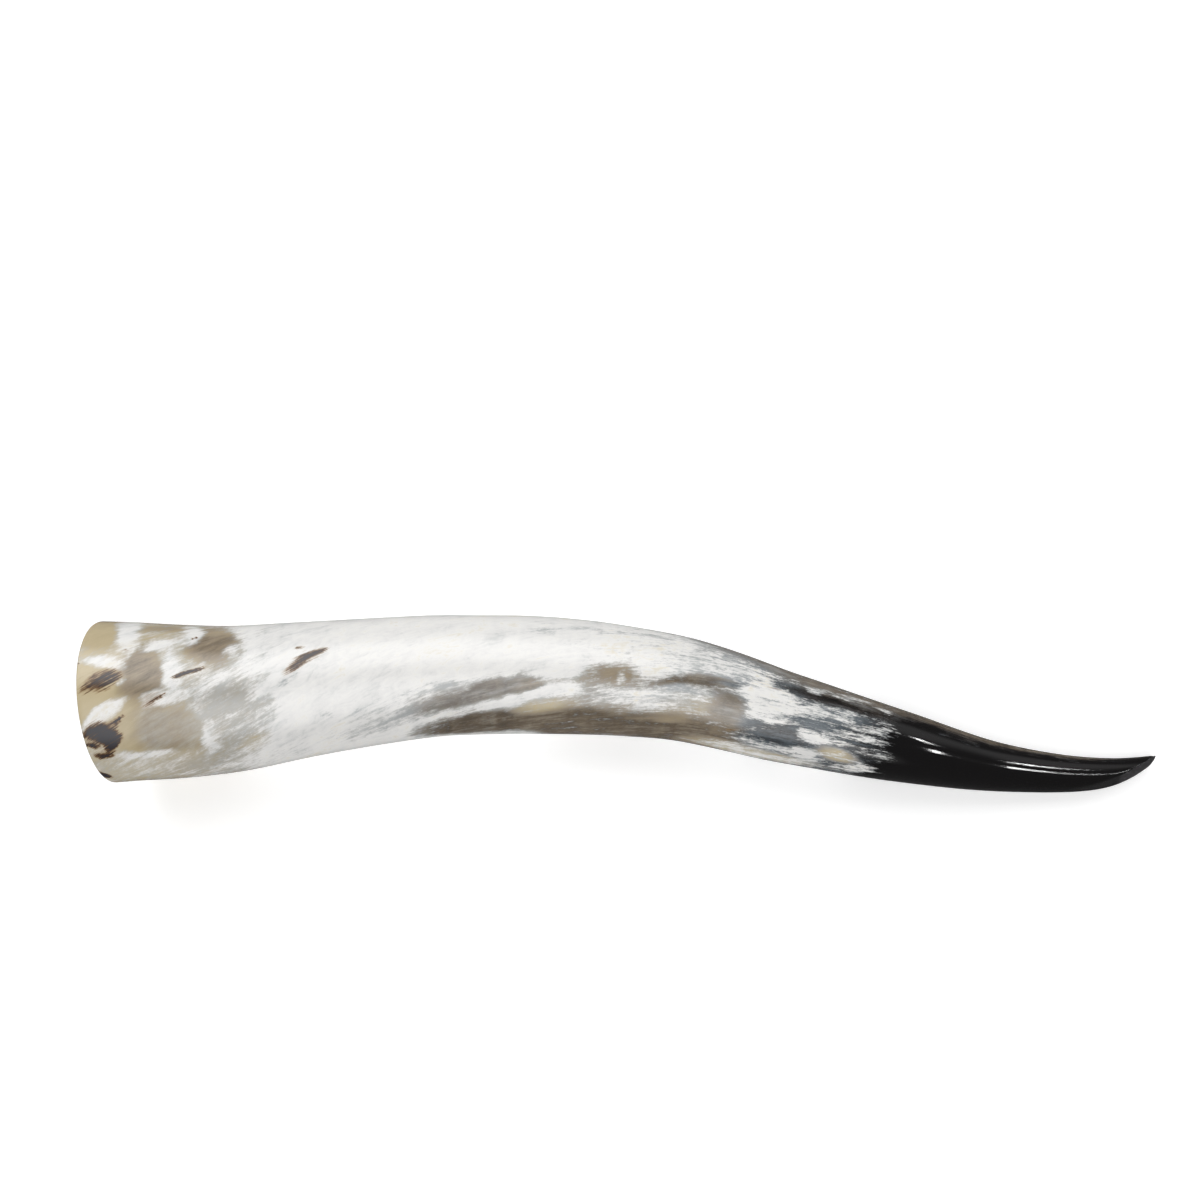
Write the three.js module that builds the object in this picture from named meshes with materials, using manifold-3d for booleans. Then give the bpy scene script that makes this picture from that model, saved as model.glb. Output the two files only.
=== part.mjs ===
// A polished cow horn lying on its side: one piece of horn, sawn flat and open at the mouth,
// hollow for its lower part, solid towards the tip, and cut off aslant at the tip.
// Millimetres, +X from the mouth to the tip, +Z up, origin at the bottom centre of the bounding box.
import * as THREE from "three";
import { mergeVertices } from "three/addons/utils/BufferGeometryUtils.js";
import Module from "manifold-3d";

// The grown horn, at stations spaced evenly along X from the mouth to where its point would have been
const GROWN_LENGTH = 640;
const SIDEWAYS = [0, 1.5, 9.8, 15.8, 15.4, 8.8, -8.2, -23.8, -36.2, -39, -27.5]; // the S bend, in plan
const HALF_WIDTH = [45.5, 41.8, 37.5, 34.4, 33.4, 30.2, 26, 20.8, 13.8, 8.8, 4];
const UNDERSIDE = [0.5, 0.9, 0.9, 0.3, 0, 1.2, 3, 2.8, 0.5, 0.3, 5.5]; // gap to the surface it lies on
const FLATTENING = 0.95; // height over width of the oval section
const POINT_LENGTH = 40; // where the grown end rounds off

// The sawn mouth, which is not quite square to the horn
const MOUTH_YAW = THREE.MathUtils.degToRad(4); // its +Y side reaches further out
const MOUTH_LEAN = THREE.MathUtils.degToRad(9); // its top reaches further out
const MOUTH_LOBE = 0.012; // three shallow lobes, as a share of the radius
const MOUTH_LOBE_TURN = THREE.MathUtils.degToRad(50);
const MOUTH_REACH = 180; // how far along the horn the mouth's lean and lobes fade out

// The hollow where the bony core was
const HOLLOW_DEPTH = 395;
const MOUTH_WALL = 4;
const WALL_GROWTH = 8; // added to the wall by the end of the hollow

// The slanting cut that takes the point off
const CUT_POINT = new THREE.Vector3(589.4, -37.6, 7);
const CUT_SLANT = THREE.MathUtils.degToRad(32); // to the X axis, in plan
const CUT_TURN_UP = THREE.MathUtils.degToRad(25); // how far the cut face looks up
const CUTTER_SIZE = 120;

// Facets
const SIDES = 48;
const RINGS_OUTSIDE = 44;
const RINGS_AT_POINT = 6;
const RINGS_INSIDE = 18;
const MERGE_DISTANCE = 1e-3;

const HORN_COLOUR = 0xc9c3b8;

const wasm = await Module();
wasm.setup();

// A smooth curve through values at the even stations, read at a distance along X.
function stationCurve(values) {
  const gap = GROWN_LENGTH / (values.length - 1);
  const points = values.map((value, i) => new THREE.Vector3(i * gap, value, 0));
  const curve = new THREE.CatmullRomCurve3(points, false, "catmullrom");
  return (along) => curve.getPoint(along / GROWN_LENGTH).y;
}

const halfWidthAt = stationCurve(HALF_WIDTH);

const stationGap = GROWN_LENGTH / (SIDEWAYS.length - 1);
const centreline = new THREE.CatmullRomCurve3(
  SIDEWAYS.map(
    (side, i) => new THREE.Vector3(i * stationGap, side, UNDERSIDE[i] + FLATTENING * HALF_WIDTH[i]),
  ),
  false,
  "catmullrom",
);

function outerRadius(along) {
  const past = Math.max(0, (along - (GROWN_LENGTH - POINT_LENGTH)) / POINT_LENGTH);
  return halfWidthAt(along) * Math.sqrt(Math.max(0, 1 - past * past));
}

function innerRadius(along) {
  const depth = along / HOLLOW_DEPTH;
  const wall = MOUTH_WALL + WALL_GROWTH * depth ** 2;
  return (halfWidthAt(along) - wall) * Math.sqrt(Math.max(0, 1 - depth ** 4));
}

// The horn as if it were straight: a closed half section from the bottom of the hollow, out over
// the rim of the mouth and along the outside to the point.
function straightSection() {
  const points = [];
  const bodyLength = GROWN_LENGTH - POINT_LENGTH;
  const quarterTurn = Math.PI / 2;
  for (let i = 0; i <= RINGS_INSIDE; i++) {
    const along = HOLLOW_DEPTH * Math.cos((i / RINGS_INSIDE) * quarterTurn);
    points.push(new THREE.Vector2(innerRadius(along), along));
  }
  for (let i = 0; i < RINGS_OUTSIDE; i++) {
    const along = (i / RINGS_OUTSIDE) * bodyLength;
    points.push(new THREE.Vector2(outerRadius(along), along));
  }
  for (let i = 0; i <= RINGS_AT_POINT; i++) {
    const along = bodyLength + POINT_LENGTH * Math.sin((i / RINGS_AT_POINT) * quarterTurn);
    points.push(new THREE.Vector2(outerRadius(along), along));
  }
  return points;
}

// Lays the straight horn along its centreline, with its oval section and its slanting, lobed mouth.
function bend(geometry) {
  const position = geometry.getAttribute("position");
  const up = new THREE.Vector3(0, 0, 1);
  const place = new THREE.Vector3();
  for (let i = 0; i < position.count; i++) {
    place.fromBufferAttribute(position, i);
    const along = place.y;
    const tangent = centreline.getTangent(along / GROWN_LENGTH);
    const side = new THREE.Vector3().crossVectors(up, tangent).normalize();
    const above = new THREE.Vector3().crossVectors(tangent, side);
    const nearMouth = Math.max(0, 1 - along / MOUTH_REACH) ** 2;
    const turn = Math.atan2(place.x, place.z);
    const lobe = 1 + nearMouth * MOUTH_LOBE * Math.cos(3 * (turn - MOUTH_LOBE_TURN));
    const sideways = place.z * lobe;
    const height = place.x * lobe * FLATTENING;
    const lean = sideways * Math.tan(MOUTH_YAW) + height * Math.tan(MOUTH_LEAN);
    place
      .copy(centreline.getPoint(along / GROWN_LENGTH))
      .addScaledVector(side, sideways)
      .addScaledVector(above, height)
      .addScaledVector(tangent, -nearMouth * lean);
    position.setXYZ(i, place.x, place.y, place.z);
  }
  return geometry;
}

// A block whose face lies on the slanting cut, with the horn's point inside it.
function cutter() {
  const facing = new THREE.Vector3(
    Math.sin(CUT_SLANT) * Math.cos(CUT_TURN_UP),
    -Math.cos(CUT_SLANT) * Math.cos(CUT_TURN_UP),
    Math.sin(CUT_TURN_UP),
  );
  const turned = new THREE.Quaternion().setFromUnitVectors(new THREE.Vector3(0, 0, 1), facing);
  return new THREE.BoxGeometry(CUTTER_SIZE, CUTTER_SIZE, CUTTER_SIZE)
    .translate(0, 0, CUTTER_SIZE / 2)
    .applyQuaternion(turned)
    .translate(CUT_POINT.x, CUT_POINT.y, CUT_POINT.z);
}

function solidOf(geometry) {
  geometry.deleteAttribute("normal");
  geometry.deleteAttribute("uv");
  const merged = mergeVertices(geometry, MERGE_DISTANCE);
  return new wasm.Manifold(
    new wasm.Mesh({
      numProp: 3,
      vertProperties: merged.getAttribute("position").array,
      triVerts: new Uint32Array(merged.index.array),
    }),
  );
}

function geometryOf(solid) {
  const mesh = solid.getMesh();
  const geometry = new THREE.BufferGeometry();
  geometry.setAttribute("position", new THREE.BufferAttribute(mesh.vertProperties, 3));
  geometry.setIndex(new THREE.BufferAttribute(mesh.triVerts, 1));
  geometry.computeVertexNormals();
  return geometry;
}

function makeHorn() {
  const grown = solidOf(bend(new THREE.LatheGeometry(straightSection(), SIDES)));
  const geometry = geometryOf(grown.subtract(solidOf(cutter())));
  const material = new THREE.MeshStandardMaterial({
    color: HORN_COLOUR,
    roughness: 0.25,
    metalness: 0,
  });
  const horn = new THREE.Mesh(geometry, material);
  horn.name = "horn";
  geometry.computeBoundingBox();
  const middle = geometry.boundingBox.getCenter(new THREE.Vector3());
  horn.position.set(-middle.x, -middle.y, -geometry.boundingBox.min.z);
  return horn;
}

const part = new THREE.Group();
part.add(makeHorn());

export default part;
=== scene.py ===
# A polished cow horn lying on a pale floor: its smooth surface, its markings and the light around it.
# Lengths along and across the horn are in millimetres, as in its solid; Blender's own are in metres.
import math

import bpy
import numpy as np
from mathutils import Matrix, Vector, noise


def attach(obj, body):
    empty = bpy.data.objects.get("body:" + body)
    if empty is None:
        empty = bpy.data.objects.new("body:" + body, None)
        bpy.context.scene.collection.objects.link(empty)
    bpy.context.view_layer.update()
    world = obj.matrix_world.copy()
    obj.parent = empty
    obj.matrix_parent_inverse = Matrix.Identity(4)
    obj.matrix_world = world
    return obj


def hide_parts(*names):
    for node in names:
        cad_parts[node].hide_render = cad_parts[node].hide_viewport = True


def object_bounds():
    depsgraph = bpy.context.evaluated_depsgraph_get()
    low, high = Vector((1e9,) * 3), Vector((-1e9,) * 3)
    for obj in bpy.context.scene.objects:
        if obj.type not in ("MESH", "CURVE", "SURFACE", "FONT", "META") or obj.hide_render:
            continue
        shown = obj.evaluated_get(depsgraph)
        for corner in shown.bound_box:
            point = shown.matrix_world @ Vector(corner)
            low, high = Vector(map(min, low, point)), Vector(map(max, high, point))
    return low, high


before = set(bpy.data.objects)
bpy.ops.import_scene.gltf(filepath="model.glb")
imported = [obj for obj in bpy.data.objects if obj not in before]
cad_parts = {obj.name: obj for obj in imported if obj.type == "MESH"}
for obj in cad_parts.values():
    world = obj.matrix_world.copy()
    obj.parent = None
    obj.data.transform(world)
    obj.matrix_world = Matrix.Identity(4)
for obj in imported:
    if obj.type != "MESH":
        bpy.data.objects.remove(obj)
cad_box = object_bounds()

MM = 0.001

# The form of the horn, through the same stations as its solid
GROWN_LENGTH = 640
SIDEWAYS = [0, 1.5, 9.8, 15.8, 15.4, 8.8, -8.2, -23.8, -36.2, -39, -27.5]
HALF_WIDTH = [45.5, 41.8, 37.5, 34.4, 33.4, 30.2, 26, 20.8, 13.8, 8.8, 4]
UNDERSIDE = [0.5, 0.9, 0.9, 0.3, 0, 1.2, 3, 2.8, 0.5, 0.3, 5.5]
FLATTENING = 0.95
POINT_LENGTH = 40
MOUTH_YAW = math.radians(4)
MOUTH_LEAN = math.radians(9)
MOUTH_LOBES = 3
MOUTH_LOBE = 0.012
MOUTH_LOBE_TURN = math.radians(50)
MOUTH_REACH = 180
HOLLOW_DEPTH = 395
MOUTH_WALL = 4
WALL_GROWTH = 8

# What the smooth surface adds to the solid: rounded edges, gentle unevenness, and flutes in the hollow.
# Each wave has its length along the horn over one radian (mm), how often it goes round the horn, where
# it starts (radians) and its height (mm)
EDGE_ROUNDING = 0.9
WAVES = [(27, 2, 0, 0.15), (13, -3, 1, 0.105), (7, 1, 0, 0.06)]
WAVES_FADE_IN = 40
WAVES_FADE_OUT = 80
WAVES_END = 430
FLUTES = [(60, 9, 0, 0.5), (35, -23, math.pi, 0.3), (9, 2, 0, 0.25)]
FLUTES_FADE_IN = 25
FLUTES_FADE_OUT = 60
FLUTES_END = 370

# The slanting cut at the tip, ground to a face that leaves the horn's side smoothly and curves in, the
# blunt end beyond it, and where the grinding shows as wear
GROUND_START = 545
GROUND_RADIUS = 140
GROUND_TURN_UP = math.radians(25)
GROUND_SOFTNESS = 0.6
TIP_END = 603.5
BLUNT_LENGTH = 4
WORN_DEPTH = 1.5
WORN_START = 562
WORN_LENGTH = 20

# The mesh
SIDES = 256
RINGS_OUTSIDE = 310
RINGS_INSIDE = 44
RINGS_ON_RIM = 5
RINGS_ON_END = 12
RINGS_IN_FILLET = 5

# The grain winds round the horn, most at the mouth (radians per mm), and less until it runs straight (mm)
GRAIN_TWIST = 0.0145
GRAIN_STRAIGHT = 450
GRAIN_RADIUS = 40

# How far the edges of the markings wander: sizes of the wandering and its reach across the horn (mm),
# both stretched along the horn, and the least radius by which the reach is turned into an angle
WANDER = [(20, 3.0), (9, 2.0), (4, 1.0)]
WANDER_STRETCH = 2
WANDER_SEED = 1
WANDER_LEAST_RADIUS = 5


def station_curve(values, along):
    """A smooth curve through values at the even stations, read at distances along the horn."""
    gaps = len(values) - 1
    step = np.clip(np.asarray(along, float) / GROWN_LENGTH, 0, 1) * gaps
    first = np.minimum(step.astype(int), gaps - 1)
    part = step - first
    padded = np.array([2 * values[0] - values[1], *values, 2 * values[-1] - values[-2]])
    before, here, there, after = (padded[first + i] for i in range(4))
    leaving = (there - before) / 2
    arriving = (after - here) / 2
    cubic = 2 * here - 2 * there + leaving + arriving
    square = 3 * there - 3 * here - 2 * leaving - arriving
    return ((cubic * part + square) * part + leaving) * part + here


def centreline(along):
    height = [under + FLATTENING * half for under, half in zip(UNDERSIDE, HALF_WIDTH)]
    return np.stack([along, station_curve(SIDEWAYS, along), station_curve(height, along)], -1)


def unit(vectors):
    return vectors / np.linalg.norm(vectors, axis=-1, keepdims=True)


def outer_radius(along):
    past = np.clip((along - GROWN_LENGTH + POINT_LENGTH) / POINT_LENGTH, 0, 1)
    return station_curve(HALF_WIDTH, along) * np.sqrt(1 - past**2)


def inner_radius(along):
    depth = np.clip(along / HOLLOW_DEPTH, 0, 1)
    wall = MOUTH_WALL + WALL_GROWTH * depth**2
    return (station_curve(HALF_WIDTH, along) - wall) * np.sqrt(1 - depth**4)


def ground_off(along, sideways, height):
    """How deep the ground face at the tip cuts into a section, at each of its points."""
    depth = np.clip(along - GROUND_START, 0, None) ** 2 / (2 * GROUND_RADIUS)
    half_size = math.hypot(math.cos(GROUND_TURN_UP), FLATTENING * math.sin(GROUND_TURN_UP))
    outward = height * math.sin(GROUND_TURN_UP) - sideways * math.cos(GROUND_TURN_UP)
    past = outward - (outer_radius(along) * half_size - depth)
    softness = np.minimum(GROUND_SOFTNESS, depth)
    return (past + np.sqrt(past**2 + softness**2)) / 2 * (depth > 0)


def place(along, turn, radius):
    """Points of the bent horn, turn being 0 on its +Y side and a quarter turn at its top."""
    step = 0.03
    ahead = centreline(np.minimum(along + step, GROWN_LENGTH))
    tangent = unit(ahead - centreline(np.maximum(along - step, 0)))
    side = unit(np.cross((0, 0, 1), tangent))
    above = np.cross(tangent, side)
    near_mouth = np.clip(1 - along / MOUTH_REACH, 0, 1) ** 2
    lobe = 1 + near_mouth * MOUTH_LOBE * np.cos(MOUTH_LOBES * (turn - MOUTH_LOBE_TURN))
    sideways = radius * np.cos(turn) * lobe
    height = radius * np.sin(turn) * lobe * FLATTENING
    lean = near_mouth * (sideways * math.tan(MOUTH_YAW) + height * math.tan(MOUTH_LEAN))
    taken = ground_off(along, sideways, height)
    sideways = sideways + taken * math.cos(GROUND_TURN_UP)
    height = height - taken * math.sin(GROUND_TURN_UP)
    return centreline(along) + sideways[:, None] * side + height[:, None] * above - lean[:, None] * tangent


def ripples(waves, along, turn):
    """The height of all the waves together."""
    total = np.zeros(len(along))
    for length, rounds, start, height in waves:
        total += height * np.sin(along / length + rounds * turn + start)
    return total


def fade(along, fade_in, fade_out, end):
    """From 0 at the mouth up to 1, and back to 0 at the end."""
    return np.clip(along / fade_in, 0, 1) * np.clip((end - along) / fade_out, 0, 1)


def wavy_radius(along, turn):
    """The outside, with the gentle unevenness that polishing by hand leaves."""
    shown = fade(along, WAVES_FADE_IN, WAVES_FADE_OUT, WAVES_END)
    return outer_radius(along) + shown * ripples(WAVES, along, turn)


def fluted_radius(along, turn):
    """The hollow, with the long shallow flutes where it grew on the bony core."""
    shown = fade(along, FLUTES_FADE_IN, FLUTES_FADE_OUT, FLUTES_END)
    return inner_radius(along) + shown * ripples(FLUTES, along, turn)


def fillet(edge, first, second):
    """Rings that round an edge off, from the face that runs along first to the one along second."""
    start = edge + EDGE_ROUNDING * first
    end = edge + EDGE_ROUNDING * second
    rings = []
    for part in np.linspace(0, 1, RINGS_IN_FILLET):
        rings.append((1 - part) ** 2 * start + 2 * part * (1 - part) * edge + part**2 * end)
    return rings


def horn_rings():
    """Every ring of the surface in turn: points, distance along, share of the radius and surface name."""
    turn = np.arange(SIDES) / SIDES * 2 * math.pi
    none = np.zeros(SIDES)
    near = np.full(SIDES, 1.0)
    inner_edge = place(none, turn, inner_radius(none))
    outer_edge = place(none, turn, outer_radius(none))
    across_rim = unit(outer_edge - inner_edge)
    into_hollow = unit(place(near, turn, inner_radius(near)) - inner_edge)
    up_outside = unit(place(near, turn, outer_radius(near)) - outer_edge)
    inner_share = inner_radius(none) / outer_radius(none)

    rings = []
    for i in range(1, RINGS_INSIDE):
        along = none + HOLLOW_DEPTH * math.cos(i / RINGS_INSIDE * math.pi / 2)
        # The last rings keep clear of the rounded edge of the rim
        along = along + EDGE_ROUNDING * (i / RINGS_INSIDE) ** 8
        radius = fluted_radius(along, turn)
        rings.append((place(along, turn, radius), along, radius / outer_radius(along), "hollow"))
    for points in fillet(inner_edge, into_hollow, across_rim):
        rings.append((points, none, inner_share, "rim"))
    rim_start = inner_edge + EDGE_ROUNDING * across_rim
    rim_end = outer_edge - EDGE_ROUNDING * across_rim
    for i in range(1, RINGS_ON_RIM):
        part = i / RINGS_ON_RIM
        share = inner_share + (1 - inner_share) * part
        rings.append((rim_start + (rim_end - rim_start) * part, none, share, "rim"))
    for points in fillet(outer_edge, -across_rim, up_outside):
        rings.append((points, none, none + 1, "outside"))
    for i in range(1, RINGS_OUTSIDE):
        along = none + EDGE_ROUNDING + (TIP_END - BLUNT_LENGTH - EDGE_ROUNDING) * i / RINGS_OUTSIDE
        rings.append((place(along, turn, wavy_radius(along, turn)), along, none + 1, "outside"))
    for i in range(RINGS_ON_END):
        slope = i / RINGS_ON_END * math.pi / 2
        along = none + TIP_END - BLUNT_LENGTH * (1 - math.sin(slope))
        section = place(along, turn, outer_radius(along))
        middle = section.mean(0)
        share = math.cos(slope)
        rings.append((middle + (section - middle) * share, along, none + share, "outside"))
    hollow_end = place(none[:1] + HOLLOW_DEPTH, turn[:1], none[:1])[0]
    tip = place(none + TIP_END, turn, outer_radius(none + TIP_END)).mean(0)
    return turn, rings, hollow_end, tip


def shift_into_frame():
    """What brings the horn onto its solid, by the three sides where the two have the same surface."""
    along, turn = np.meshgrid(np.linspace(0, GROUND_START, 500), np.linspace(0, 2 * math.pi, 360))
    plain = place(along.ravel(), turn.ravel(), outer_radius(along.ravel()))
    sides = np.array([plain[:, 0].min(), plain[:, 1].max(), plain[:, 2].min()])
    return np.array([cad_box[0][0], cad_box[1][1], cad_box[0][2]]) / MM - sides


# Markings, painted over the start values below. Each has its middle, along the horn (mm) and
# around it (degrees from the top, + towards +Y), its length and width (mm), its rise (degrees towards
# +Y as it goes along) and its edge (the share of its half size over which it fades), and then:
# cover, how far the white layer hides the horn below it, from 0 bare to 1 white
# tone, how dark the horn below is, from 0 pale to 1 black
# warmth, from 0 slate grey to 1 tan and brown
KEEP = None
PATCHES = [
    # Tan windows at the mouth
    (4, 66, 24, 46, 0, 0.8, -0.5, 0.12, 1.2),
    (8, 2, 32, 38, 0, 0.8, -0.6, 0.08, 1.1),
    (25, -14, 17, 46, 0, 1.2, -0.4, 0.14, 1.2),
    (32, 13, 23, 36, 10, 1.0, -0.4, 0.45, 1.1),
    (43, -26, 33, 28, 4, 0.9, -0.4, 0.32, 0.7),
    (66, 38, 25, 25, 10, 0.9, -0.3, 0.42, 1.0),
    (36, 60, 34, 9, 4, 1.4, 0.15, 0.32, 1.0),
    (60, 62, 20, 11, 10, 1.4, 0.05, 0.32, 1.0),
    (20, -62, 64, 20, 5, 1.6, 0.5, 0.1, 0.9),
    (56, -60, 36, 14, 10, 1.6, 0.4, 0.26, 0.7),
    # White clouds among them
    (19, 52, 12, 38, 8, 1.3, 1.2, KEEP, KEEP),
    (11, 22, 20, 8, -5, 1.4, 1.1, KEEP, KEEP),
    (21, 9, 9, 6, 20, 1.6, 0.85, KEEP, KEEP),
    (13, -14, 28, 9, 36, 1.2, 1.2, KEEP, KEEP),
    (52, 54, 11, 22, 12, 1.3, 1.2, KEEP, KEEP),
    (46, 33, 11, 22, 15, 1.3, 0.68, KEEP, KEEP),
    (36, 37, 13, 9, 10, 1.6, 1.0, KEEP, KEEP),
    (47, 14, 9, 18, 5, 1.3, 1.1, KEEP, KEEP),
    (75, 30, 10, 14, 15, 1.8, 0.85, KEEP, KEEP),
    (45, -2, 26, 6, 12, 1.4, 1.1, KEEP, KEEP),
    (61, -30, 7, 36, -5, 1.4, 1.1, KEEP, KEEP),
    (30, -46, 26, 6, 3, 1.6, 1.0, KEEP, KEEP),
    # Grey beyond them, and streaks of dark fibres
    (75, -10, 32, 46, 0, 1.6, 0.42, 0.3, 0.5),
    (84, -46, 18, 11, 10, 1.4, 0.4, 0.08, 1.0),
    (80, 16, 36, 10, 25, 1.6, 0.95, KEEP, KEEP),
    (38, -5, 18, 7, 28, 1.4, 0.9, KEEP, KEEP),
    (106, 5, 14, 6, 25, 1.6, 0.6, 0.4, 0.0),
    (127, -32, 12, 6, 20, 1.6, 0.65, 0.4, 0.0),
    (130, -61, 11, 11, 20, 1.6, 0.35, 0.42, 0.4),
    # The lens that climbs from the lower side to the top, grey at first and taupe beyond
    (140, -48, 120, 26, 15, 1.8, 1.0, 0.28, 0.4),
    (170, -22, 62, 6, 12, 1.6, 0.75, 0.3, 0.1),
    (166, -40, 58, 10, 17, 1.8, 0.6, 0.34, 0.2),
    (207, -23, 72, 14, 12, 1.2, -0.25, 0.57, 0.7),
    (237, -17, 18, 9, 4, 0.8, -0.2, 0.52, 0.7),
    (245, -26, 30, 6, 5, 1.4, 1.2, KEEP, KEEP),
    # The dark brown lower side
    (214, -62, 90, 22, 6, 1.0, -0.1, 0.62, 0.9),
    (268, -60, 74, 36, 2, 0.8, -0.15, 0.54, 0.9),
    (322, -56, 84, 36, 2, 0.6, -0.15, 0.57, 0.95),
    (318, -21, 84, 16, 3, 1.2, 0.4, 0.26, 0.9),
    (318, -42, 36, 4, 5, 1.6, KEEP, 0.34, 1.0),
    (350, -37, 22, 14, 4, 1.0, 0.0, 0.48, 1.0),
    (244, -38, 30, 7, 8, 1.6, 0.3, 0.08, 1.0),
    # Flecks above it
    (255, -12, 36, 4, 6, 1.6, 0.5, 0.36, 0.7),
    (283, -5, 33, 18, 6, 1.2, 0.0, 0.38, 0.95),
    (286, -3, 4, 8, 0, 1.6, 0.7, KEEP, KEEP),
    (272, -18, 16, 12, 0, 1.6, 0.3, 0.45, 0.8),
    (300, -20, 52, 12, 2, 1.6, 0.5, 0.4, 0.3),
    (325, 5, 48, 9, 12, 1.4, 0.05, 0.58, 0.95),
    (335, 9, 22, 5, 13, 1.6, KEEP, 0.62, 0.8),
    (350, 15, 18, 3, 14, 1.8, 0.15, 0.66, 0.2),
    (322, -7, 24, 5, 8, 1.6, 0.5, 0.4, 0.1),
    (303, -17, 40, 4, 3, 1.8, 0.85, KEEP, KEEP),
    (283, 50, 38, 4, 3, 1.8, 0.6, 0.45, 0.2),
    (246, 43, 12, 5, 5, 1.8, 0.75, 0.4, 0.1),
    (395, 76, 140, 28, -3, 1.0, -0.2, 0.48, 0.6),
    # White breaking up on slate towards the tip
    (382, -29, 44, 16, 0, 1.3, -0.1, 0.84, 0.15),
    (394, -6, 24, 10, 0, 1.3, 0.05, 0.66, 0.0),
    (371, 6, 33, 19, 0, 1.0, 1.25, KEEP, KEEP),
    (349, -10, 19, 15, 0, 1.4, -0.2, 0.5, 0.75),
    (408, 36, 62, 7, 0, 1.4, -0.7, 0.92, 0.6),
    (405, 13, 34, 12, -2, 1.0, 0.8, KEEP, KEEP),
    (398, -22, 20, 4.5, 0, 1.0, 1.1, KEEP, KEEP),
    (398, -52, 17, 14, -10, 1.0, 1.1, KEEP, KEEP),
    (414, -38, 21, 8, -10, 1.4, 0.35, 0.06, 1.0),
    (428, -51, 13, 8, -10, 1.4, 0.95, KEEP, KEEP),
    (394, 44, 11, 5, 12, 1.8, 0.9, KEEP, KEEP),
    (414, 51, 15, 6, 10, 1.8, 0.9, KEEP, KEEP),
    (435, 43, 16, 3, -6, 1.6, 0.7, KEEP, KEEP),
    (377, -48, 28, 5, 2, 1.6, 0.75, KEEP, KEEP),
    (368, -72, 70, 12, 2, 1.2, 0.75, 0.08, 1.0),
    (405, -8, 38, 7, 0, 1.6, 0.45, KEEP, KEEP),
    (433, 8, 20, 18, 0, 1.6, 0.35, KEEP, KEEP),
    (434, -28, 12, 14, 0, 1.6, 0.3, KEEP, KEEP),
    # A paler brown-grey band along the top edge of the tip: a painted reflection of the bright
    # surroundings, which the polished tip shows there at a grazing angle
    (500, 72, 210, 19, 0, 1.2, KEEP, 0.6, 0.8),
    # The far side and the underside
    (30, 150, 42, 24, 30, 0.8, -0.25, 0.2, 1.0),
    (45, -120, 38, 28, 30, 0.8, -0.25, 0.3, 1.0),
    (120, -150, 66, 14, 24, 1.3, 0.15, 0.4, 0.6),
    (150, 120, 50, 10, 20, 1.6, 0.45, 0.3, 0.3),
    (225, 165, 112, 15, 13, 1.0, -0.05, 0.46, 0.8),
    (300, -115, 110, 24, 8, 1.0, -0.05, 0.56, 0.9),
    (335, 125, 84, 13, 10, 1.0, 0.05, 0.5, 0.6),
    (385, 175, 60, 16, 4, 1.0, 0.15, 0.7, 0.1),
    (405, -150, 40, 12, 0, 0.8, 1.1, KEEP, KEEP),
    (412, 140, 26, 10, 0, 1.0, 1.05, KEEP, KEEP),
]

# Dark spots, in the same columns up to the edge, and then from 0 none to 1 black; paler ones first
SPOTS = [
    (9, 7, 26, 12, 33, 1.4, 0.5),
    (12, 10, 18, 9, 33, 1.4, 0.68),
    (12, 2, 9, 3, 25, 1.8, 0.5),
    (4, -30, 14, 8, 22, 1.6, 0.6),
    (11, -29, 15, 14, 40, 1.5, 0.95),
    (12, -37, 10, 8, 60, 1.6, 0.9),
    (20.5, -18, 10, 3, 38, 1.8, 0.9),
    (7, -46, 15, 7, 5, 1.6, 0.9),
    (11, -46.5, 4, 3, 0, 1.6, 0.8),
    (1.5, -38.5, 6, 4, 10, 1.6, 0.9),
    (3, -69, 11, 8, -40, 1.3, 0.85),
    (37, -6, 20, 8, 28, 1.8, 0.45),
    (43, -1, 8, 2.4, 28, 1.6, 0.6),
    (114, 17, 26, 9, 25, 1.8, 0.45),
    (54, 15, 14, 3, 26, 1.4, 0.95),
    (53, 48, 6, 2.6, 28, 1.6, 0.9),
    (41, 11, 6, 2.4, 28, 1.6, 0.55),
    (1.5, 21, 5, 2.4, 25, 1.6, 0.6),
    (19, 31, 5, 2.6, 20, 1.6, 0.5),
    (121, 21, 8, 2.6, 25, 1.6, 0.6),
    (113, 16, 17, 5, 25, 1.6, 0.8),
    (113, 29, 7, 2, 25, 1.6, 0.55),
    (370, 27, 12, 2.4, 3, 1.6, 0.45),
    (354, -39, 8, 5, 3, 1.6, 0.42),
    (8, 130, 14, 8, 33, 1.6, 1.0),
    (25, -140, 12, 5, 33, 1.6, 0.9),
    (70, 170, 15, 4, 28, 1.6, 0.8),
    (180, -120, 16, 4, 15, 1.6, 0.8),
]

# What lies below the markings, at places along the horn (mm): the cover, tone and warmth, and how far
# noise breaks the white layer up, from 0 smooth to 1 in flecks and streaks. Spots start from none
START_COVER = [
    (0, 0.4), (30, 0.4), (70, 0.6), (95, 1.4), (220, 1.5), (260, 1.3),
    (300, 0.95), (340, 0.8), (365, 0.75), (385, 0.3), (430, 0.2), (446, -1.2),
]
START_TONE = [
    (0, 0.08), (50, 0.2), (90, 0.3), (150, 0.34), (330, 0.4), (365, 0.6), (420, 0.82), (446, 1.4),
]
START_WARMTH = [(0, 1.0), (60, 0.9), (150, 0.5), (290, 0.4), (365, 0.15), (440, 0.3)]
START_BREAKUP = [
    (0, 0.45), (60, 0.55), (100, 0.65), (200, 0.55), (260, 0.7), (330, 0.8), (360, 1.1), (440, 1.2),
]
NO_STAIN = -0.3


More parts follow.
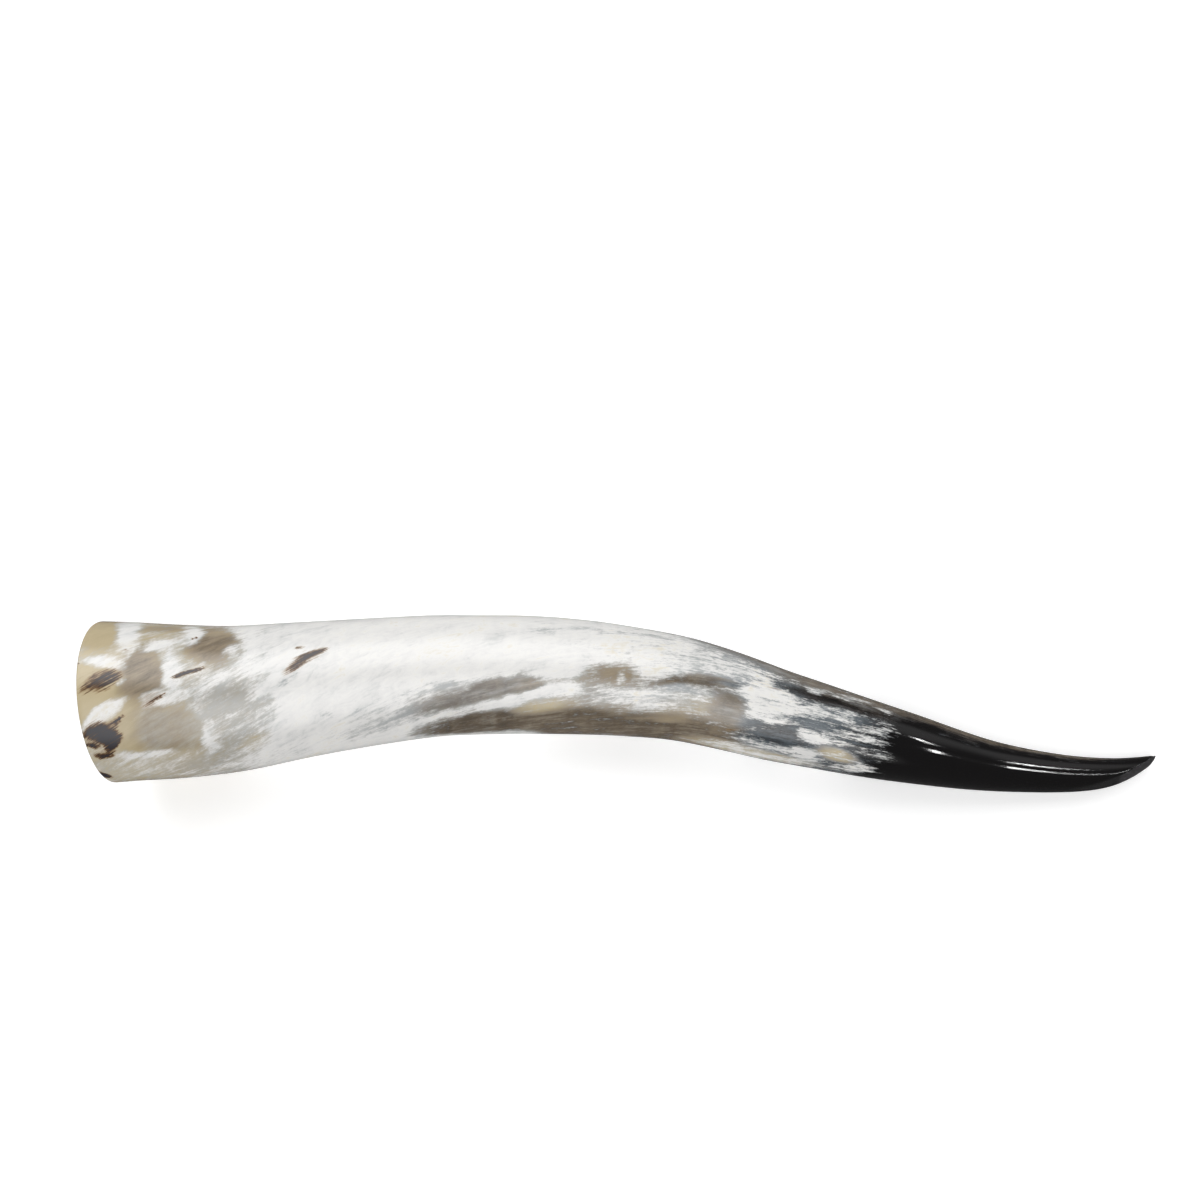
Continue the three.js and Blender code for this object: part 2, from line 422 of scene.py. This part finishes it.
def strength(along, around, at, turned, length, width, rise, edge):
    """How strongly a marking shows at each point: a half at its nominal size."""
    forward = along - at
    apart = (around - turned + 180) % 360 - 180
    sideways = np.radians(apart) * outer_radius(np.array([at]))
    cosine = math.cos(math.radians(rise))
    sine = math.sin(math.radians(rise))
    lengthwise = (forward * cosine + sideways * sine) / (length / 2)
    crosswise = (sideways * cosine - forward * sine) / (width / 2)
    depth = np.clip((1 - np.hypot(lengthwise, crosswise)) / edge + 0.5, 0, 1)
    return depth * depth * (3 - 2 * depth)


def paint_markings(along, around):
    """The five fields that colour the horn, at each point."""
    fields = {
        "cover": np.interp(along, *zip(*START_COVER)),
        "tone": np.interp(along, *zip(*START_TONE)),
        "warmth": np.interp(along, *zip(*START_WARMTH)),
        "breakup": np.interp(along, *zip(*START_BREAKUP)),
        "stain": np.full(len(along), NO_STAIN),
    }
    for *place_and_size, cover, tone, warmth in PATCHES:
        shown = strength(along, around, *place_and_size)
        for name, value in (("cover", cover), ("tone", tone), ("warmth", warmth)):
            if value is not KEEP:
                fields[name] += (value - fields[name]) * shown
    for *place_and_size, stain in SPOTS:
        fields["stain"] += (stain - fields["stain"]) * strength(along, around, *place_and_size)
    return fields


def wander(grain):
    """A smooth random shift of each point, along the horn and across it (mm), so that edges wander."""
    noise.seed_set(WANDER_SEED)
    shift = np.zeros((len(grain), 2))
    for size, reach in WANDER:
        places = grain / (size, size, size * WANDER_STRETCH)
        random = np.array([noise.noise_vector(point)[:2] for point in places.tolist()])
        shift += random * (reach * WANDER_STRETCH, reach)
    return shift


def srgb(red, green, blue):
    """A colour as it shows on screen, 0 to 255, in the linear values that shaders take."""
    linear = []
    for level in (red / 255, green / 255, blue / 255):
        linear.append(level / 12.92 if level <= 0.04045 else ((level + 0.055) / 1.055) ** 2.4)
    return (*linear, 1)


class Shading:
    """The nodes of a material or a light, made one at a time and linked as they are made."""

    def __init__(self, owner, shader="Principled BSDF"):
        owner.use_nodes = True
        self.owner = owner
        self.tree = owner.node_tree
        self.shader = self.tree.nodes[shader]

    def node(self, kind, inputs, **settings):
        node = self.tree.nodes.new(kind)
        for name, value in settings.items():
            setattr(node, name, value)
        for key, value in inputs.items():
            if isinstance(value, bpy.types.NodeSocket):
                self.tree.links.new(value, node.inputs[key])
            else:
                node.inputs[key].default_value = value
        return node

    def field(self, name):
        return self.node("ShaderNodeAttribute", {}, attribute_name=name)

    def place(self):
        return self.node("ShaderNodeTexCoord", {}).outputs["Object"]

    def math(self, operation, first, second=0.0):
        return self.node("ShaderNodeMath", {0: first, 1: second}, operation=operation).outputs[0]

    def sway(self, value, noises, swings):
        """value, moved up and down by the noises that swings names, as far as it says."""
        for name, swing in swings.items():
            inputs = {0: noises[name], 1: swing, 2: -swing / 2}
            moved = self.node("ShaderNodeMath", inputs, operation="MULTIPLY_ADD").outputs[0]
            value = self.math("ADD", value, moved)
        return value

    def stretched(self, vector, stretch):
        return self.node("ShaderNodeVectorMath", {0: vector, 1: stretch}, operation="MULTIPLY").outputs[0]

    def noise(self, vector, scale, detail=3.0, roughness=0.55, distortion=0.0):
        inputs = {
            "Vector": vector,
            "Scale": scale,
            "Detail": detail,
            "Roughness": roughness,
            "Distortion": distortion,
        }
        return self.node("ShaderNodeTexNoise", inputs).outputs["Fac"]

    def smooth(self, value, low, high, to_low=0.0, to_high=1.0):
        inputs = {"Value": value, "From Min": low, "From Max": high, "To Min": to_low, "To Max": to_high}
        return self.node("ShaderNodeMapRange", inputs, interpolation_type="SMOOTHSTEP").outputs["Result"]

    def ramp(self, value, stops):
        node = self.node("ShaderNodeValToRGB", {"Fac": value})
        points = node.color_ramp.elements
        while len(points) < len(stops):
            points.new(0.5)
        for point, (position, colour) in zip(points, stops):
            point.position = position
            point.color = colour
        return node.outputs["Color"]

    def mix(self, factor, first, second):
        inputs = {0: factor, 6: first, 7: second}
        return self.node("ShaderNodeMix", inputs, data_type="RGBA").outputs[2]

    def bump(self, height, distance):
        inputs = {"Height": height, "Distance": distance, "Strength": 1.0}
        self.link("Normal", self.node("ShaderNodeBump", inputs).outputs["Normal"])

    def link(self, socket, value):
        self.tree.links.new(value, self.shader.inputs[socket])

    def set(self, values):
        for name, value in values.items():
            self.shader.inputs[name].default_value = value


HORN_IOR = 1.54

# The colours of the bare horn from pale to dark, warm and cool, of the white layer from thin to thick
# and then cream, and of the spots from faint to strong
WARM_COLOURS = [
    (0.0, srgb(208, 194, 160)),
    (0.2, srgb(178, 163, 133)),
    (0.4, srgb(150, 137, 118)),
    (0.6, srgb(104, 93, 79)),
    (0.8, srgb(58, 50, 44)),
    (1.0, srgb(17, 15, 15)),
]
COOL_COLOURS = [
    (0.0, srgb(216, 218, 218)),
    (0.25, srgb(178, 180, 180)),
    (0.45, srgb(140, 145, 149)),
    (0.65, srgb(85, 93, 99)),
    (0.85, srgb(44, 47, 50)),
    (1.0, srgb(15, 14, 15)),
]
WHITE_COLOURS = [
    (0.0, srgb(187, 191, 193)),
    (0.25, srgb(213, 214, 212)),
    (0.5, srgb(232, 231, 229)),
    (0.75, srgb(240, 239, 236)),
    (1.0, srgb(229, 224, 211)),
]
STAIN_COLOURS = [
    (0.0, srgb(164, 138, 102)),
    (0.35, srgb(112, 84, 58)),
    (0.65, srgb(66, 52, 44)),
    (1.0, srgb(52, 51, 57)),
]

# The noises of the horn's substance: how far the grain is stretched across the fibres and along them,
# and then the scale (per mm), detail, roughness and distortion
HORN_NOISES = {
    "fibre": (1, 0.05, 1.5, 4, 0.6, 0),
    "streak": (1, 0.12, 0.3, 7, 0.7, 0),
    "cloud": (1, 0.45, 0.1, 8, 0.65, 0.8),
    "fleck": (1, 0.5, 0.6, 6, 0.7, 0.4),
    "band": (0.1, 1, 0.14, 3, 0.5, 0),
    "haze": (1, 0.7, 0.045, 5, 0.6, 0.5),
    "lace": (1, 0.6, 0.22, 6, 0.65, 1.2),
}

# How far each noise moves the tone, the warmth, the white layer and its tint, and the spots
TONE_SWINGS = {"streak": 0.8, "cloud": 1.0, "fleck": 0.5, "band": 0.4, "fibre": 0.4}
WARMTH_SWINGS = {"cloud": 1.2, "streak": 0.6}
COVER_SWINGS = {"streak": 2.2, "cloud": 2.6, "fleck": 2.2, "fibre": 1.2, "band": 0.6}
TINT_SWINGS = {"haze": 1.3, "lace": 0.9, "band": 0.4, "streak": 0.6}
STAIN_SWINGS = {"fibre": 1.2, "streak": 0.7, "fleck": 0.6}

# Ranges of the cover over which the white layer comes to hide the horn and over which its tint thickens,
# the tint at both ends, and ranges of the stain over which a spot comes to show and over which it darkens
COVER_HIDES = (0.0, 1.05)
COVER_THICKENS = (0.1, 1.2)
TINT_RANGE = (0.05, 0.62)
STAIN_SHOWS = (0.2, 0.6)
STAIN_DARKENS = (0.3, 0.95)


def grain_noises(shading, grain, table):
    noises = {}
    for name, (across, along, *settings) in table.items():
        noises[name] = shading.noise(shading.stretched(grain, (across, across, along)), *settings)
    return noises


def horn_colour(shading):
    """The colour at any point of the horn, how white it is there, and the noises that it is made of."""
    noises = grain_noises(shading, shading.field("grain").outputs["Vector"], HORN_NOISES)
    cover, tone, warmth, breakup, stain = (
        shading.field(name).outputs["Fac"] for name in ("cover", "tone", "warmth", "breakup", "stain")
    )
    tone = shading.math("MULTIPLY", tone, shading.sway(1.0, noises, TONE_SWINGS))
    warmth = shading.sway(warmth, noises, WARMTH_SWINGS)
    cool = shading.ramp(tone, COOL_COLOURS)
    warm = shading.ramp(tone, WARM_COLOURS)
    bare = shading.mix(shading.smooth(warmth, 0.0, 1.0), cool, warm)

    gaps = shading.math("MULTIPLY", shading.sway(0.0, noises, COVER_SWINGS), breakup)
    cover = shading.math("ADD", cover, gaps)
    whiteness = shading.smooth(cover, *COVER_HIDES)
    tint = shading.sway(shading.smooth(cover, *COVER_THICKENS, *TINT_RANGE), noises, TINT_SWINGS)
    covered = shading.mix(whiteness, bare, shading.ramp(tint, WHITE_COLOURS))

    stain = shading.sway(stain, noises, STAIN_SWINGS)
    spot = shading.ramp(shading.smooth(stain, *STAIN_DARKENS), STAIN_COLOURS)
    colour = shading.mix(shading.smooth(stain, *STAIN_SHOWS), covered, spot)
    return colour, whiteness, noises


# The polished outside: its roughness where bare and where white, and how the ground tip is scratched.
# Stretches of place, here and below, are per metre, and the relief of a bump is in metres
POLISH_BARE = 0.06
POLISH_WHITE = 0.22
POLISH_SWINGS = {"fibre": 0.06}
SCRATCH_STRETCH = (300, 2600, 300)
SCRATCH_SHOWS = (0.4, 0.75)
SCRATCH_COLOUR = srgb(112, 109, 114)
SCRATCH_SWINGS = {"scratch": 8}
POLISHED_RELIEF = 0.00001


def polished_material():
    shading = Shading(bpy.data.materials.new("polished_horn"))
    colour, whiteness, noises = horn_colour(shading)
    scratch_place = shading.stretched(shading.place(), SCRATCH_STRETCH)
    scratch = shading.noise(scratch_place, 1.0, detail=4, roughness=0.7)
    scratch = shading.math("MULTIPLY", shading.field("worn").outputs["Fac"], scratch)
    scratched = shading.smooth(scratch, *SCRATCH_SHOWS)
    shading.link("Base Color", shading.mix(scratched, colour, SCRATCH_COLOUR))
    polish = shading.smooth(whiteness, 0, 1, POLISH_BARE, POLISH_WHITE)
    polish = shading.sway(polish, noises, POLISH_SWINGS)
    shading.link("Roughness", shading.math("ADD", polish, scratch))
    relief = shading.sway(noises["fibre"], {"scratch": scratch}, SCRATCH_SWINGS)
    shading.bump(relief, POLISHED_RELIEF)
    shading.set({"IOR": HORN_IOR})
    return shading.owner


# The sawn rim: layers round the horn, and the marks of the saw
LAYERS_PER_MM = 2.6
LAYER_COLOURS = [(0.3, srgb(150, 132, 102)), (0.7, srgb(236, 226, 204))]
LAYER_SHARE = 0.45
SAW_STRETCH = (900, 90, 2600)
SAWN_ROUGHNESS = 0.55
SAWN_ROUGHNESS_SWINGS = {"saw": 0.3}
SAWN_RELIEF_SWINGS = {"layers": 0.6}
SAWN_RELIEF = 0.00018


def sawn_material():
    shading = Shading(bpy.data.materials.new("sawn_rim"))
    colour = horn_colour(shading)[0]
    flat = shading.stretched(shading.field("grain").outputs["Vector"], (1, 1, 0))
    radius = shading.node("ShaderNodeVectorMath", {0: flat}, operation="LENGTH").outputs["Value"]
    layer_place = shading.node("ShaderNodeCombineXYZ", {"X": radius}).outputs["Vector"]
    noises = {
        "layers": shading.noise(layer_place, LAYERS_PER_MM, detail=2),
        "saw": shading.noise(shading.stretched(shading.place(), SAW_STRETCH), 1.0, detail=3),
    }
    shade = shading.ramp(noises["layers"], LAYER_COLOURS)
    shading.link("Base Color", shading.mix(LAYER_SHARE, colour, shade))
    shading.link("Roughness", shading.sway(SAWN_ROUGHNESS, noises, SAWN_ROUGHNESS_SWINGS))
    shading.bump(shading.sway(noises["saw"], noises, SAWN_RELIEF_SWINGS), SAWN_RELIEF)
    shading.set({"IOR": HORN_IOR})
    return shading.owner


# The hollow: rough fibres, pale by the mouth and dark deep inside. Its noises have the columns above
HOLLOW_NOISES = {"fibre": (1, 0.05, 0.9, 5, 0.65, 0), "cloud": (1, 0.3, 0.12, 5, 0.55, 0)}
HOLLOW_PALE = [(0.3, srgb(128, 104, 72)), (0.75, srgb(214, 200, 168))]
HOLLOW_DARK = [(0.3, srgb(74, 58, 42)), (0.75, srgb(140, 120, 92))]
HOLLOW_COLOUR_SWINGS = {"cloud": 0.8}
HOLLOW_ROUGHNESS = 0.62
HOLLOW_ROUGHNESS_SWINGS = {"fibre": 0.25}
HOLLOW_RELIEF_SWINGS = {"cloud": 0.5}
HOLLOW_RELIEF = 0.0006


def hollow_material():
    shading = Shading(bpy.data.materials.new("hollow"))
    grain = shading.field("grain").outputs["Vector"]
    noises = grain_noises(shading, grain, HOLLOW_NOISES)
    depth = shading.node("ShaderNodeSeparateXYZ", {0: grain}).outputs["Z"]
    fibres = shading.sway(noises["fibre"], noises, HOLLOW_COLOUR_SWINGS)
    pale = shading.ramp(fibres, HOLLOW_PALE)
    dark = shading.ramp(fibres, HOLLOW_DARK)
    shading.link("Base Color", shading.mix(shading.smooth(depth, 0, HOLLOW_DEPTH), pale, dark))
    shading.link("Roughness", shading.sway(HOLLOW_ROUGHNESS, noises, HOLLOW_ROUGHNESS_SWINGS))
    shading.bump(shading.sway(noises["fibre"], noises, HOLLOW_RELIEF_SWINGS), HOLLOW_RELIEF)
    shading.set({"IOR": HORN_IOR})
    return shading.owner


def worn_by_grinding(along, turn):
    """From 0 polished to 1 worn: the ground face, more so towards the end of the tip."""
    radius = outer_radius(along)
    taken = ground_off(along, radius * np.cos(turn), radius * np.sin(turn) * FLATTENING)
    return np.clip(taken / WORN_DEPTH, 0, 1) * np.clip((along - WORN_START) / WORN_LENGTH, 0, 1)


def make_horn():
    turn, rings, hollow_end, tip = horn_rings()
    points = np.concatenate([ring[0] for ring in rings] + [hollow_end[None], tip[None]])
    points = points + shift_into_frame()
    count = len(rings)
    last = count * SIDES

    here = np.arange(SIDES)
    there = (here + 1) % SIDES
    first = np.arange(count - 1)[:, None] * SIDES
    quads = np.stack([first + here, first + there, first + SIDES + there, first + SIDES + here], -1)
    quads = quads.reshape(-1, 4)
    fan = [(last, int(b), int(a)) for a, b in zip(here, there)]
    end = (count - 1) * SIDES
    cap = [(int(end + a), int(end + b), last + 1) for a, b in zip(here, there)]
    mesh = bpy.data.meshes.new("horn_surface")
    mesh.from_pydata((points * MM).tolist(), [], quads.tolist() + fan + cap)

    surfaces = {"hollow": hollow_material(), "rim": sawn_material(), "outside": polished_material()}
    names = list(surfaces)
    kinds = [names.index(ring[3]) for ring in rings[:-1]] + [names.index("hollow"), names.index("outside")]
    slots = np.repeat(kinds, SIDES)
    mesh.polygons.foreach_set("material_index", slots.astype(np.int32))
    mesh.polygons.foreach_set("use_smooth", np.ones(len(slots), bool))
    for material in surfaces.values():
        mesh.materials.append(material)

    along = np.concatenate([ring[1] for ring in rings] + [[HOLLOW_DEPTH, TIP_END]])
    share = np.concatenate([ring[2] for ring in rings] + [[0, 0]])
    turns = np.concatenate([np.tile(turn, count), [0, 0]])
    around = 90 - np.degrees(turns)
    twist = GRAIN_TWIST * (along - along**2 / (2 * GRAIN_STRAIGHT))
    wound = np.radians(around) - twist
    grain_radius = share * GRAIN_RADIUS
    grain = np.stack([np.cos(wound) * grain_radius, np.sin(wound) * grain_radius, along], -1)
    vector_field(mesh, "grain", grain)
    shift = wander(grain)
    radius = np.maximum(outer_radius(along), WANDER_LEAST_RADIUS)
    marked_around = around + np.degrees(shift[:, 1] / radius)
    for name, values in paint_markings(along + shift[:, 0], marked_around).items():
        number_field(mesh, name, values)
    number_field(mesh, "worn", worn_by_grinding(along, turns))

    horn = bpy.data.objects.new("horn_surface", mesh)
    bpy.context.collection.objects.link(horn)
    return horn


def vector_field(mesh, name, values):
    field = mesh.attributes.new(name, "FLOAT_VECTOR", "POINT")
    field.data.foreach_set("vector", values.astype(np.float32).ravel())


def number_field(mesh, name, values):
    field = mesh.attributes.new(name, "FLOAT", "POINT")
    field.data.foreach_set("value", values.astype(np.float32))


# The studio, in metres and watts: a camera above, a pale floor, a white backdrop, large soft lights in
# front and behind, a panel that the tip mirrors, and two small lamps for its highlights
CAMERA_PLACE = (-0.0222, -0.0808, 0.890)
CAMERA_TILT = math.radians(9.3)
CAMERA_LENS = 45
CAMERA_SENSOR = 36
FLOOR_RADIUS = 1.8
FLOOR_SIDES = 96
FLOOR_DROP = 0.0004
FLOOR_COLOUR = (0.9, 0.9, 0.9, 1)
FLOOR_ROUGHNESS = 0.9
FLOOR_GLOW_NEAR = 0.4
FLOOR_GLOW_FAR = 1.0
BACKDROP_RADIUS = 8
WHITE = (1, 1, 1, 1)
BLACK = (0, 0, 0, 1)
WORLD_GLOW = 0.1
SOFT_EDGE = 0.35

# Each light has its name, its place, what it is aimed at, its width, its depth and its power
LIGHTS = [
    ("front_softbox", (0.0, -0.8, 1.2), (0, 0, 0), 1.5, 2.2, 27),
    ("back_softbox", (-0.4, 1.2, 1.4), (-0.05, 0, 0), 3.2, 2.4, 66),
    ("tip_panel", (1.3, 1.1, 1.0), (0.2, 0, 0), 1.4, 1.4, 2.6),
    ("tip_lamp_back", (1.22, 0.46, 1.2), (0.2, 0, 0), 0.26, 0.035, 2.4),
    ("tip_lamp_front", (1.11, -0.12, 1.2), (0.2, 0, 0), 0.22, 0.035, 2.1),
]


def make_camera():
    camera = bpy.data.objects.new("camera", bpy.data.cameras.new("camera"))
    camera.data.lens = CAMERA_LENS
    camera.data.sensor_width = CAMERA_SENSOR
    camera.location = CAMERA_PLACE
    camera.rotation_euler = (CAMERA_TILT, 0, 0)
    bpy.context.collection.objects.link(camera)
    bpy.context.scene.camera = camera


def make_floor():
    """A pale disc, brighter away from the horn so that it meets the white backdrop without an edge."""
    bpy.ops.mesh.primitive_circle_add(vertices=FLOOR_SIDES, radius=FLOOR_RADIUS, fill_type="NGON")
    floor = bpy.context.object
    floor.location.z = -FLOOR_DROP
    floor.name = "floor"
    floor.visible_glossy = False
    shading = Shading(bpy.data.materials.new("floor"))
    shading.set({"Base Color": FLOOR_COLOUR, "Roughness": FLOOR_ROUGHNESS, "Emission Color": WHITE})
    away = shading.node("ShaderNodeVectorMath", {0: shading.place()}, operation="LENGTH").outputs["Value"]
    glow = shading.smooth(away, FLOOR_RADIUS / 3, FLOOR_RADIUS, FLOOR_GLOW_NEAR, FLOOR_GLOW_FAR)
    shading.link("Emission Strength", glow)
    floor.data.materials.append(shading.owner)


def make_backdrop():
    """A white sphere all round that only the camera sees, so that it lights nothing."""
    bpy.ops.mesh.primitive_uv_sphere_add(segments=48, ring_count=24, radius=BACKDROP_RADIUS)
    backdrop = bpy.context.object
    backdrop.name = "backdrop"
    backdrop.visible_diffuse = False
    backdrop.visible_glossy = False
    backdrop.visible_transmission = False
    backdrop.visible_shadow = False
    shading = Shading(bpy.data.materials.new("backdrop"))
    shading.set({"Base Color": BLACK, "Emission Color": WHITE, "Emission Strength": 1.0})
    backdrop.data.materials.append(shading.owner)


def make_light(name, place_at, aim_at, width, depth, watts):
    """A soft rectangular light that dims towards its edges."""
    data = bpy.data.lights.new(name, "AREA")
    data.shape = "RECTANGLE"
    data.size = width
    data.size_y = depth
    data.energy = watts
    shading = Shading(data, "Emission")
    across = shading.node("ShaderNodeNewGeometry", {}).outputs["Parametric"]
    sides = shading.node("ShaderNodeSeparateXYZ", {0: across}).outputs
    bright = []
    for side in ("X", "Y"):
        from_middle = shading.math("ABSOLUTE", shading.math("SUBTRACT", sides[side], 0.5))
        bright.append(shading.smooth(from_middle, 0.5 - SOFT_EDGE, 0.5, 1.0, 0.0))
    shading.link("Strength", shading.math("MULTIPLY", *bright))
    light = bpy.data.objects.new(name, data)
    light.location = place_at
    direction = Vector(aim_at) - Vector(place_at)
    light.rotation_euler = direction.to_track_quat("-Z", "Y").to_euler()
    bpy.context.collection.objects.link(light)


def make_studio():
    for light in LIGHTS:
        make_light(*light)
    world = bpy.data.worlds.new("studio")
    world.use_nodes = True
    background = world.node_tree.nodes["Background"].inputs
    background["Color"].default_value = WHITE
    background["Strength"].default_value = WORLD_GLOW
    bpy.context.scene.world = world
    bpy.context.scene.view_settings.view_transform = "Standard"


make_camera()
make_floor()
make_backdrop()
make_studio()
horn = make_horn()
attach(horn, "root")
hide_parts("horn")
